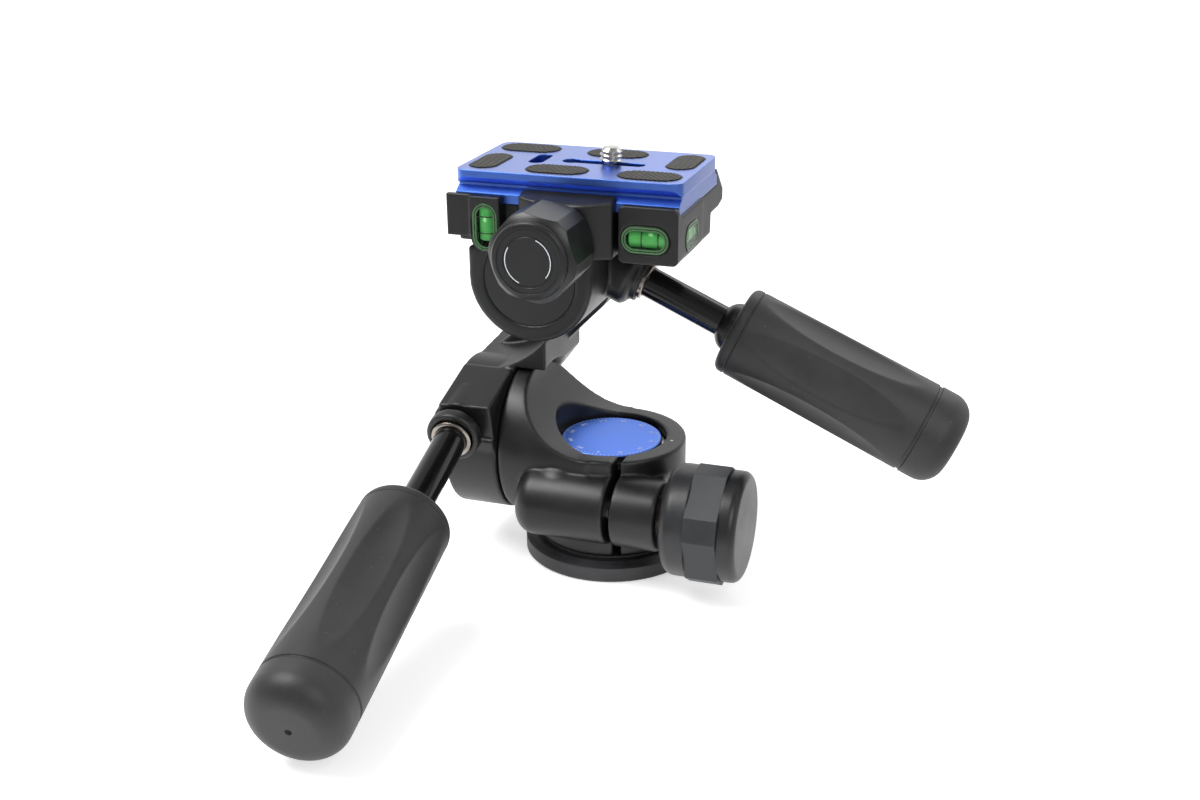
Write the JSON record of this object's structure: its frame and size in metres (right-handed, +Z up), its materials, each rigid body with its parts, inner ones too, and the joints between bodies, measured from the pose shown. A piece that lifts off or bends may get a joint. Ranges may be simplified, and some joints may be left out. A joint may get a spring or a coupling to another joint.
{
  "type": "three way pan tilt head",
  "caption": "Tripod head with pan, front tilt and side tilt joints, screw-lock handles, quick release clamp and plate, and spirit levels.",
  "frame": {"origin": "middle of the base's underside, at the mouth of the tripod thread on the pan axis", "axes": "+Z up along the pan axis, +X right towards the side handle, -Y towards the tilt handle and the clamp knob"},
  "size_m": [0.1504, 0.1672, 0.1213],
  "materials": {
    "black_cast": "satin black coating on cast metal",
    "black_gloss": "gloss black coating on a round rod",
    "rubber": "soft moulded black rubber with a fine grain",
    "knob_plastic": "moulded black plastic",
    "blue_metal": "blue anodised aluminium",
    "steel": "turned steel",
    "bright_metal": "bright plated metal",
    "washer": "smooth bearing plastic",
    "level_frame": "clear green moulded plastic",
    "level_vial": "green liquid in a clear vial"
  },
  "bodies": {
    "base": {"base_disc": "black_cast", "thread_insert": "steel", "pan_column": "steel", "column_cap": "steel", "column_screw": "steel", "pan_dial": "blue_metal", "pan_washer": "washer"},
    "pan": {"pan_housing": "black_cast", "tilt_shaft": "steel", "tilt_washer": "washer", "tilt_retainer": "steel"},
    "pan_knob": {"pinch_screw": "steel", "pinch_bush": "bright_metal", "pan_knob_core": "knob_plastic", "pan_knob_band": "rubber", "pan_knob_cap": "knob_plastic"},
    "tilt": {"elbow": "black_cast", "elbow_plug": "knob_plastic", "roll_shaft": "steel", "head_screw": "steel", "roll_retainer": "steel"},
    "tilt_handle": {"tilt_handle_stud": "steel", "tilt_handle_collar": "bright_metal", "tilt_handle_rod": "black_gloss", "tilt_handle_hub": "knob_plastic", "tilt_handle_grip": "rubber", "tilt_handle_cap": "rubber"},
    "roll": {"side_body": "black_cast", "barrel_cap": "knob_plastic", "clamp_body": "black_cast", "clamp_bolts": "steel", "jaw_pins": "steel", "front_level": "level_frame", "front_vial": "level_vial", "pod_level": "level_frame", "pod_vial": "level_vial", "side_level": "level_frame", "side_vial": "level_vial"},
    "side_handle": {"side_handle_stud": "steel", "side_handle_collar": "bright_metal", "side_handle_rod": "black_gloss", "side_handle_hub": "knob_plastic", "side_handle_grip": "rubber", "side_handle_cap": "rubber"},
    "jaw": {"jaw": "black_cast"},
    "clamp_knob": {"clamp_screw": "steel", "clamp_knob": "knob_plastic", "clamp_knob_cap": "knob_plastic"},
    "plate": {"plate": "blue_metal", "pad_1": "rubber", "pad_2": "rubber", "pad_3": "rubber", "pad_4": "rubber", "pad_5": "rubber", "pad_6": "rubber"},
    "screw_slide": {"screw_clip": "steel"},
    "camera_screw": {"camera_screw": "steel"}
  },
  "joints": [
    {"name": "pan_turn", "type": "hinge", "parent": "base", "child": "pan", "pos_m": [0, 0, 0], "axis": [0, 0, 1], "continuous": true},
    {"name": "pan_lock", "type": "hinge", "parent": "pan", "child": "pan_knob", "pos_m": [0.0224, -0.021, 0.0218], "axis": [1, 0, 0], "range_deg": [0, 360]},
    {"name": "tilt_turn", "type": "hinge", "parent": "pan", "child": "tilt", "pos_m": [-0.0273, 0, 0.033], "axis": [1, 0, 0], "range_deg": [-80, 30]},
    {"name": "tilt_lock", "type": "hinge", "parent": "tilt", "child": "tilt_handle", "pos_m": [-0.038, -0.0295, 0.0413], "axis": [0.0575, -0.9677, -0.2453], "range_deg": [0, 300]},
    {"name": "side_turn", "type": "hinge", "parent": "tilt", "child": "roll", "pos_m": [-0.0172, 0, 0.0872], "axis": [0, 1, 0], "range_deg": [-90, 15]},
    {"name": "side_lock", "type": "hinge", "parent": "roll", "child": "side_handle", "pos_m": [0.0087, 0.005, 0.0825], "axis": [0.9128, 0, -0.4083], "range_deg": [0, 300]},
    {"name": "jaw_slide", "type": "slide", "parent": "roll", "child": "jaw", "axis": [0, -1, 0], "range_m": [0, 0.0035]},
    {"name": "clamp_turn", "type": "hinge", "parent": "jaw", "child": "clamp_knob", "pos_m": [-0.0075, -0.0266, 0.1002], "axis": [0, -1, 0], "range_deg": [0, 1008]},
    {"name": "plate_slide", "type": "slide", "parent": "roll", "child": "plate", "axis": [1, 0, 0], "range_m": [-0.007, 0.015]},
    {"name": "screw_slide", "type": "slide", "parent": "plate", "child": "screw_slide", "axis": [1, 0, 0], "range_m": [-0.0115, 0.006]},
    {"name": "screw_turn", "type": "hinge", "parent": "screw_slide", "child": "camera_screw", "pos_m": [0.0004, -0.0008, 0.1083], "axis": [0, 0, 1], "continuous": true}
  ],
  "couplings": [
    {"joint": "clamp_turn", "follows": "jaw_slide", "rad_per_m": 5026.5}
  ]
}
